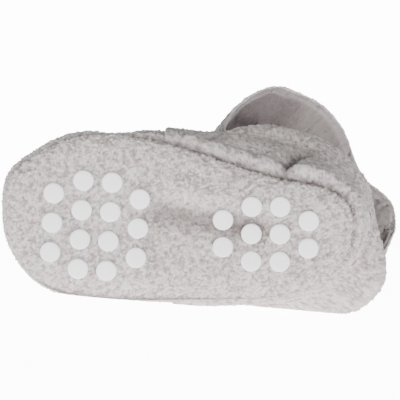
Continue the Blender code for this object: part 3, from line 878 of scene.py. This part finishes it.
def press_sole(obj):
    """Presses the folds into the sole, rolls its lower edge back towards the floor and returns
    the folds' depth for painted shade.
    """
    points, normals = triples(obj.data.vertices, "co"), triples(obj.data.vertices, "normal")
    facing = smooth_step((-normals[:, 1] - 0.3) / 0.4)
    push = np.zeros(len(points))
    for fold in SOLE_FOLDS:
        start, end = np.array(fold.start) * MM, np.array(fold.end) * MM
        run = end - start
        flat = points[:, [0, 2]] - start
        along = flat @ run / (run @ run)
        away = np.linalg.norm(flat - np.clip(along, 0.0, 1.0)[:, None] * run, axis=1)
        push += fold.depth * MM * np.exp(-((away / (fold.width * MM)) ** 2))
    folds = push.copy()
    push += EDGE_ROLL * np.clip(1.0 - points[:, 2] / EDGE_ROLL_HEIGHT, 0.0, 1.0) ** 2
    points[:, 1] += push * facing
    obj.data.vertices.foreach_set("co", points.ravel())
    obj.data.update()
    # The folds' depth, on the side that faces the camera, is the mask for painted shade in the
    # trough.
    return np.clip(folds / FOLD_DARKEST, 0.0, 1.0) * facing


sole_fold_shade = press_sole(sole)
# Painted shade: the finish darkens the sole down in its trough and folds.
paint(sole, "fold_shade", sole_fold_shade)
print("sole folds, darkest:", round(float(sole_fold_shade.max()), 2))

# %% [markdown]
# ## Tufts
# Brushed fleece stands in small rounded tufts, here about 1.3 mm apart.  A bump map alone would
# leave the outline smooth, so three Displace modifiers raise real ones: a cell texture gives
# the tufts and two cloud textures make their height and spacing uneven.  How far each point has
# risen is kept as an attribute, so that the finish can paint shade between the tufts.

# %% Tufts
TUFT_PITCH = 1.3 * MM
TUFT_HEIGHT = 0.55 * MM
PILE_FLOOR = 0.2 * MM

TuftLayer = namedtuple("TuftLayer", "name kind size share")
TUFT_LAYERS = (
    TuftLayer("fleece_tufts", "VORONOI", TUFT_PITCH, 2.6),
    TuftLayer("fleece_patches", "CLOUDS", 1.8 * MM, 1.7),
    TuftLayer("fleece_curls", "CLOUDS", 0.7 * MM, 1.4),
)
tuft_textures = []
for layer in TUFT_LAYERS:
    texture = bpy.data.textures.new(layer.name, layer.kind)
    texture.noise_scale = layer.size
    if layer.kind == "VORONOI":
        texture.weight_1, texture.weight_2 = -1.0, 1.0
    else:
        texture.noise_depth = 1
    tuft_textures.append((texture, layer.share))


def brush_up(obj, height, group=""):
    """Raises the tufts on a piece, or less where its vertex group is weak."""
    vertices = obj.data.vertices
    before, normals = triples(vertices, "co"), triples(vertices, "normal")
    for texture, share in tuft_textures:
        apply_modifier(
            obj, texture.name, "DISPLACE", texture=texture, texture_coords="LOCAL",
            strength=height * share, mid_level=0.4, vertex_group=group,
        )
    risen = ((triples(obj.data.vertices, "co") - before) * normals).sum(axis=1)
    risen = risen - risen.mean()
    after = above_floor(before + normals * risen[:, None], PILE_FLOOR)
    obj.data.vertices.foreach_set("co", after.ravel())
    pile = obj.data.attributes.new("pile", "FLOAT", "POINT")
    pile.data.foreach_set("value", (risen / risen.std()).astype(np.float32))
    obj.data.update()
    low, high = round(risen.min() / MM, 2), round(risen.max() / MM, 2)
    print(obj.name, "tufts, mm:", low, "to", high, "spread", round(risen.std() / MM, 3))


brush_up(vamp, TUFT_HEIGHT)
brush_up(wrap, TUFT_HEIGHT)
brush_up(sole, TUFT_HEIGHT)
brush_up(lining, TUFT_HEIGHT * 1.5, "nubby")
brush_up(insole, TUFT_HEIGHT * 0.4)
brush_up(collar_edge, TUFT_HEIGHT * 0.5)

# %% [markdown]
# ## Grip dots
# The dots are flat round drops of silicone, moulded on the sole so that the fleece does
# not slip.  The CAD dots are plain discs and could be kept, but the real ones are domed
# and soft at the rim.  So one dot is modelled from a cylinder: its top is inset and
# raised to a very low dome and its rim is bevelled.  Each CAD dot then gives the place
# and the direction of a copy, which sinks a little way into the pile.

# %% Grip dots
DOT_ROOT = 0.5 * MM  # how deep a dot reaches into the pile
DOME = ((0.28, 0.16), (0.7, 0.07), (1.0, 0.03))  # inset and lift of each step, in mm


def dot_frame(node):
    """The foot, direction, radius and height of a CAD dot."""
    co = np.array([v.co[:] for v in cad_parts[node].data.vertices])
    middle = (co.min(axis=0) + co.max(axis=0)) / 2
    centre = co.mean(axis=0)
    normal = np.linalg.svd(co - centre, full_matrices=False)[2][2]
    if normal[1] > 0:
        normal = -normal
    heights = (co - centre) @ normal
    foot = centre + normal * heights.min()
    radius = np.linalg.norm(co - centre - np.outer(heights, normal), axis=1).max()
    return Vector(foot), Vector(normal), radius, heights.max() - heights.min()


dot_nodes = sorted(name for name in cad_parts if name.startswith("grip_dot"))
*_, dot_radius, dot_height = dot_frame(dot_nodes[0])
print("dot:", round(dot_radius / MM, 2), "mm radius,", round(dot_height / MM, 2), "mm high")

bpy.ops.object.select_all(action="DESELECT")
bpy.ops.mesh.primitive_cylinder_add(
    vertices=40, radius=dot_radius, depth=dot_height + DOT_ROOT,
    location=(0, 0, (dot_height - DOT_ROOT) / 2),
)
pattern = bpy.context.object
pattern.name = "grip_dot_pattern"
bpy.ops.object.transform_apply(location=True)
bpy.ops.object.mode_set(mode="EDIT")
bpy.ops.mesh.select_mode(type="FACE")
bpy.ops.mesh.select_all(action="DESELECT")
shape = bmesh.from_edit_mesh(pattern.data)
for facet in shape.faces:
    facet.select = facet.normal.z > 0.9
bmesh.update_edit_mesh(pattern.data)
for inset, lift in DOME:
    bpy.ops.mesh.inset(thickness=inset * MM)
    bpy.ops.transform.translate(value=(0, 0, lift * MM))
bpy.ops.object.mode_set(mode="OBJECT")
apply_modifier(
    pattern, "soft_rim", "BEVEL", width=0.12 * MM, segments=2,
    limit_method="ANGLE", angle_limit=math.radians(35),
)
dots = []
for node in dot_nodes:
    foot, normal, *_ = dot_frame(node)
    dot = pattern.copy()
    dot.data = pattern.data.copy()
    dot.name = dot.data.name = node.replace("grip_dot", "silicone_dot")
    dot.location = foot
    dot.rotation_euler = normal.to_track_quat("Z", "Y").to_euler()
    bpy.context.scene.collection.objects.link(dot)
    only(dot)
    bpy.ops.object.transform_apply(location=True, rotation=True, scale=True)
    dots.append(dot)
bpy.data.objects.remove(pattern)
print("dots:", len(dots))

# %% [markdown]
# ## Fibres
# Brushed fleece sheds loose fibre ends.  Hair particles could grow them, but they would have to
# be made a mesh.  So each is a sliver of two faces, bent over and ending in a point, and they
# are strewn over the face of a piece from one seeded draw, so that every run is the same.  They
# are so fine that they hardly show from where the camera stands: the tufts carry the look of
# the pile.

# %% Fibres
FIBRE_LENGTH = 1.0 * MM
FIBRE_WIDTH = 0.075 * MM
FIBRE_ROOT = 0.1 * MM
FIBRE_FLOOR = 0.1 * MM


def fibres(name, obj, count, seed):
    """Strews loose fibre ends over the shown faces of a piece.

    They lean square to the place of their face, not to its normal, so they point every
    way.  That place is a vector shorter than 0.1 and their width is times its length, so
    they are only some thousandths of a millimetre wide.
    """
    shown = obj["shown_faces"]
    polygons = obj.data.polygons
    centres = triples(polygons, "center")[:shown]
    areas = np.zeros(len(polygons))
    polygons.foreach_get("area", areas)
    draw = np.random.default_rng(seed)
    picked = draw.choice(shown, count, p=areas[:shown] / areas[:shown].sum())
    place = centres[picked]
    spread = np.sqrt(areas[picked])[:, None] * 0.7
    roots = place + np.cross(place, draw.normal(size=(count, 3))) * spread * 0.5
    lean = np.cross(place, draw.normal(size=(count, 3)))
    lean = lean / np.linalg.norm(lean, axis=1, keepdims=True)
    reach = FIBRE_LENGTH * draw.uniform(0.55, 1.25, (count, 1))
    start = place * 0.8 + lean * draw.uniform(0.1, 0.9, (count, 1))
    curl = place * 0.35 + lean * draw.uniform(0.5, 1.2, (count, 1))
    curl = curl + draw.normal(size=(count, 3)) * 0.25
    half = np.cross(place, lean) * FIBRE_WIDTH / 2
    root = roots - place * FIBRE_ROOT
    knee = roots + start * reach * 0.5
    tip = knee + curl * reach * 0.5
    corners = [root - half, root + half, knee + half * 0.8, knee - half * 0.8, tip]
    points = above_floor(np.stack(corners, axis=1), FIBRE_FLOOR)
    base = np.arange(count)[:, None] * 5
    quads = (base + np.array([[0, 1, 2, 3]])).tolist()
    tips = (base + np.array([[3, 2, 4]])).tolist()
    print(name, "fibres:", count)
    return new_mesh_object(name, points.reshape(-1, 3), quads + tips)


fluff = [
    fibres("vamp_fibres", vamp, 22000, 3),
    fibres("wrap_fibres", wrap, 32000, 5),
    fibres("sole_fibres", sole, 27000, 7),
]

# %% [markdown]
# ## Finishes
# Everything but the dots is the same brushed polyester fleece, matt and light grey with a warm
# tinge.  A photograph of fleece could be wrapped round it, but the tufts are real here, so the
# finish follows them: it is a little darker between the tufts, which is painted shade, and its
# tone drifts over a millimetre, a fine noise bumps the curls that are too small to model, and a
# weak sheen stands for the loose fibre ends.  The creases get painted shade too.  The lining's
# darker colour is painted shade inside the shoe, with the paler turned hem along the collar.

# %% Fleece
PATCH_SIZE = 1.0  # mm, how far apart the yarn's lighter patches are
CURL_SIZE = 0.75  # mm; real curls are finer, and would not show
PILE_SPREAD = 1.8  # standard deviations of the pile from the darkest to the lightest
AREA_TINT = 0.65


def fleece(name, low, high, areas=()):
    """Brushed fleece with painted shade between the tufts; areas are attributes and their
    tints.
    """
    material = bpy.data.materials.new(name)
    material.use_nodes = True
    tree = material.node_tree
    shader = tree.nodes["Principled BSDF"]
    shader.inputs["Roughness"].default_value = 0.95
    shader.inputs["Specular IOR Level"].default_value = 0.15
    shader.inputs["Sheen Weight"].default_value = 0.12
    shader.inputs["Sheen Roughness"].default_value = 0.6
    place = add_node(material, "ShaderNodeTexCoord")
    pile = add_node(material, "ShaderNodeAttribute", {"attribute_name": "pile"})
    patches = add_node(
        material, "ShaderNodeTexNoise",
        values={"Scale": 1000 / PATCH_SIZE, "Detail": 4.0, "Roughness": 0.7},
        links={"Vector": (place, "Object")},
    )
    # Painted shade: low tufts are darker; the noise patches mixed in are the yarn's own uneven
    # tone.
    height = add_node(
        material, "ShaderNodeMapRange",
        values={"From Min": -PILE_SPREAD, "From Max": PILE_SPREAD},
        links={"Value": (pile, "Fac")},
    )
    both = add_node(material, "ShaderNodeMix", {"data_type": "FLOAT"}, values={"Factor": 0.5})
    tree.links.new(height.outputs["Result"], both.inputs[2])
    tree.links.new(patches.outputs["Fac"], both.inputs[3])
    ramp = add_node(material, "ShaderNodeValToRGB", links={"Fac": (both, 0)})
    ramp.color_ramp.elements[0].position = 0.30
    ramp.color_ramp.elements[0].color = linear(low)
    ramp.color_ramp.elements[1].position = 0.66
    ramp.color_ramp.elements[1].color = linear(high)
    colour = (ramp, "Color")
    for attribute, tint in areas:
        amount = add_node(material, "ShaderNodeAttribute", {"attribute_name": attribute})
        share = add_node(
            material, "ShaderNodeMapRange",
            values={"To Max": AREA_TINT}, links={"Value": (amount, "Fac")},
        )
        mixed = add_node(material, "ShaderNodeMix", {"data_type": "RGBA"})
        tree.links.new(share.outputs["Result"], mixed.inputs[0])
        tree.links.new(colour[0].outputs[colour[1]], mixed.inputs[6])
        mixed.inputs[7].default_value = linear(tint)
        colour = (mixed, 2)
    tree.links.new(colour[0].outputs[colour[1]], shader.inputs["Base Color"])
    curls = add_node(
        material, "ShaderNodeTexNoise",
        values={"Scale": 1000 / CURL_SIZE, "Detail": 3.0, "Roughness": 0.7},
        links={"Vector": (place, "Object")},
    )
    bump = add_node(
        material, "ShaderNodeBump",
        values={"Strength": 0.9, "Distance": 0.6 * MM}, links={"Height": (curls, "Fac")},
    )
    tree.links.new(bump.outputs["Normal"], shader.inputs["Normal"])
    return material


def plain(name, colour, roughness):
    """A finish of one colour: its values go straight on the shader's sockets."""
    material = bpy.data.materials.new(name)
    material.use_nodes = True
    shader = material.node_tree.nodes["Principled BSDF"]
    shader.inputs["Base Color"].default_value = linear(colour)
    shader.inputs["Roughness"].default_value = roughness
    return material


# Brushed polyester: matt, warm light grey, with painted shade down in the creases and between
# the tufts.
outer_fleece = fleece(
    "brushed_polyester_fleece", "a19594", "d5cfcb", areas=(("fold_shade", "5d5051"),)
)
# The same fleece turned over at the rim, in a paler colour.
edge_fleece = fleece("turned_fleece_edge", "c6bfbc", "e4dfdc")
# The lining: short pile; its dark colour is painted shade down in the shoe, it is paler where
# it is nubby and on the hem, and painted shade makes it darker still in its folds.
inner_fleece = fleece(
    "fleece_lining", "5c5254", "7f7475",
    areas=(
        ("nubby", "b3a9a7"), ("fold_shade", "3d3234"), ("hem", "b0a7a5"), ("hem_line", "d0cac7"),
    ),
)
# Single fibres have no pile of their own: one matt colour.
fibre_finish = plain("fleece_fibre", "cbc6c3", 0.9)
print("fleeces:", [finish.name for finish in (outer_fleece, edge_fleece, inner_fleece)])

# %% [markdown]
# The dots are white silicone rubber, moulded on the fabric, so they have a soft gloss and
# an almost even skin.  A plain white would do from afar; a very weak bump keeps the
# highlight from looking like glass.

# %% Silicone
SPECKLE_SIZE = 0.5  # mm; coarser than the real skin, so that it shows

silicone = plain("moulded_white_silicone", "fbf8fb", 0.45)
silicone_shader = silicone.node_tree.nodes["Principled BSDF"]
silicone_shader.inputs["IOR"].default_value = 1.41
speckle = add_node(
    silicone, "ShaderNodeTexNoise", values={"Scale": 1000 / SPECKLE_SIZE, "Detail": 2.0},
    links={"Vector": (add_node(silicone, "ShaderNodeTexCoord"), "Object")},
)
skin = add_node(
    silicone, "ShaderNodeBump",
    values={"Strength": 0.12, "Distance": 0.05 * MM}, links={"Height": (speckle, "Fac")},
)
silicone.node_tree.links.new(skin.outputs["Normal"], silicone_shader.inputs["Normal"])
print("dots' finish:", silicone.name)

# %% [markdown]
# The studio is white: the camera sees the paper floor and the walls nearly burnt out, as
# in the photograph.  If they lit the shoe as strongly, its shade would be gone, so the
# light that they throw on it is set apart, by the Light Path node.  Most of it comes up
# from the paper and little from the walls.

# %% Paper and walls
WALLS_SEEN, WALLS_LIGHT = 14.0, 0.34
PAPER_SEEN, PAPER_LIGHT = 12.0, 2.75


def glow(owner, light, seen, socket):
    """Feeds a strength that is one value to the camera and another as light."""
    path = add_node(owner, "ShaderNodeLightPath")
    strength = add_node(
        owner, "ShaderNodeMapRange", values={"To Min": light, "To Max": seen},
        links={"Value": (path, "Is Camera Ray")},
    )
    owner.node_tree.links.new(strength.outputs["Result"], socket)


# Uncoated white paper: matt, and lit until it is nearly burnt out.
white_floor = bpy.data.materials.new("white_paper_floor")
white_floor.use_nodes = True
floor_shader = white_floor.node_tree.nodes["Principled BSDF"]
floor_shader.inputs["Base Color"].default_value = linear("f6f6f6")
floor_shader.inputs["Roughness"].default_value = 0.9
floor_shader.inputs["Emission Color"].default_value = (1.0, 1.0, 1.0, 1.0)
glow(white_floor, PAPER_LIGHT, PAPER_SEEN, floor_shader.inputs["Emission Strength"])
floor.data.materials.append(white_floor)

world = bpy.data.worlds.new("studio_white")
bpy.context.scene.world = world
world.use_nodes = True
background = world.node_tree.nodes["Background"]
background.inputs["Color"].default_value = (1, 1, 1, 1)
glow(world, WALLS_LIGHT, WALLS_SEEN, background.inputs["Strength"])
print("paper:", PAPER_SEEN, "seen,", PAPER_LIGHT, "as light; walls:", WALLS_SEEN, WALLS_LIGHT)

# %% [markdown]
# ## Hand over to the frame
# A slipper has no moving parts, so every dressed piece rides with the one body.  The vamp
# stands in for the whole upper.  Each gets its finish, and the CAD solids of the upper, the
# sole, the insole and the dots are hidden.

# %% Hand over to the frame
finishes = [
    (vamp, outer_fleece, "grey_fleece"),
    (wrap, outer_fleece, "grey_fleece"),
    (sole, outer_fleece, "grey_fleece"),
    (collar_edge, edge_fleece, "grey_fleece"),
    (lining, inner_fleece, "lining_fleece"),
    (insole, inner_fleece, "lining_fleece"),
]
finishes += [(obj, fibre_finish, "grey_fleece") for obj in fluff]
finishes += [(dot, silicone, "grip_dot_silicone") for dot in dots]
for obj, finish, name in finishes:
    obj.data.materials.clear()
    obj.data.materials.append(finish)
    for polygon in obj.data.polygons:
        polygon.use_smooth = True
    if "shown_faces" in obj:
        del obj["shown_faces"]
    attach(obj, "root")
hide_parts("upper")
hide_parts("sole")
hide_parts("insole")
for dot, node in zip(dots, dot_nodes):
    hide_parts(node)
print("pieces:", len(finishes))
